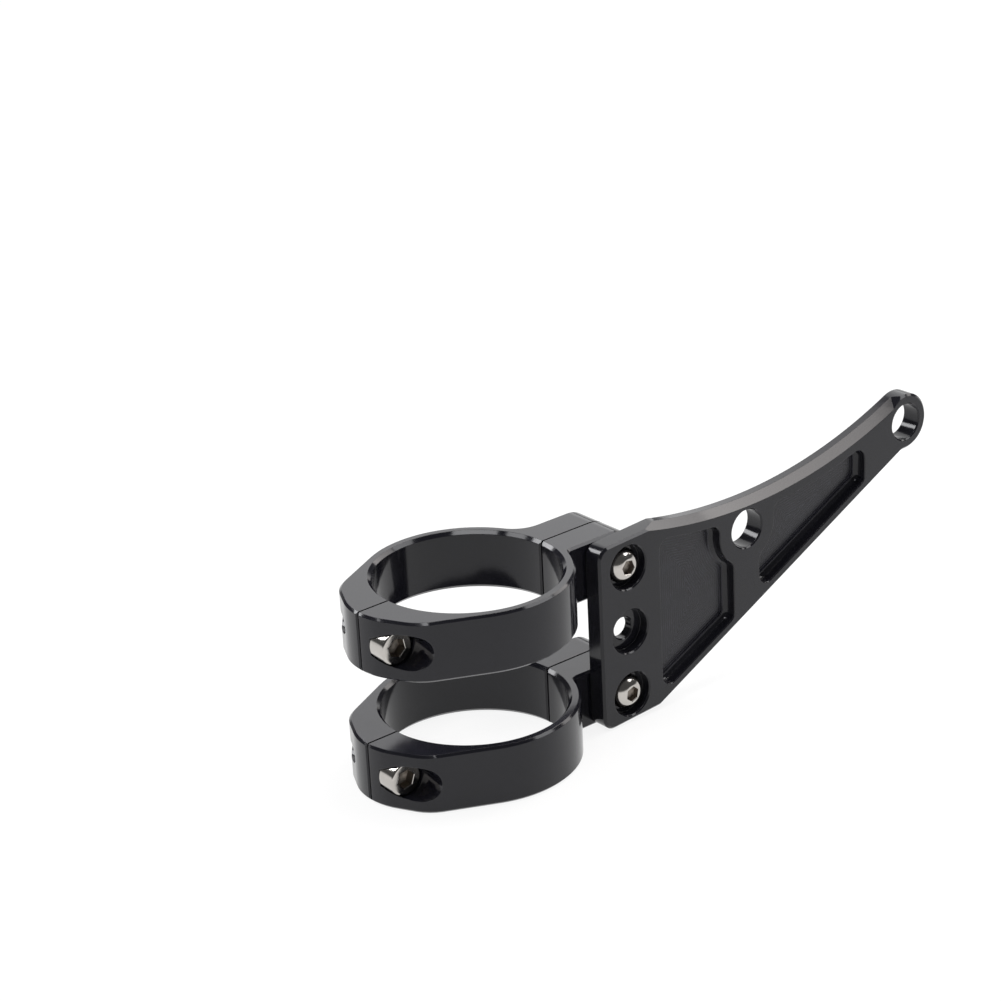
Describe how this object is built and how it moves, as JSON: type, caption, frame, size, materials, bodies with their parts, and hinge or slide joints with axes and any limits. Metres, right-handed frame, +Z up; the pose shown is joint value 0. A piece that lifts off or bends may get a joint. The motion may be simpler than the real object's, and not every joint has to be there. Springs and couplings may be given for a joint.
{
  "type": "headlight mounting bracket",
  "caption": "Milled arm plate with bevelled hollow edge, pocketed outer face and lamp eye, screwed to two split clamps that grip a fork leg.",
  "frame": {"origin": "on the axis of the fork bores, half way up the lower clamp", "axes": "+X along the arm towards the lamp, +Z up along the fork, -Y is the pocketed outer face of the arm plate"},
  "size_m": [0.2082, 0.061, 0.0697],
  "materials": {
    "anodised": "black anodised, fine milling marks, satin",
    "stainless": "polished stainless steel"
  },
  "bodies": {
    "root": {"arm_plate": "anodised", "upper_clamp_base": "anodised", "upper_clamp_cap": "anodised", "lower_clamp_base": "anodised", "lower_clamp_cap": "anodised", "upper_plate_screw": "stainless", "lower_plate_screw": "stainless", "upper_pinch_screw": "stainless", "lower_pinch_screw": "stainless"}
  },
  "joints": []
}
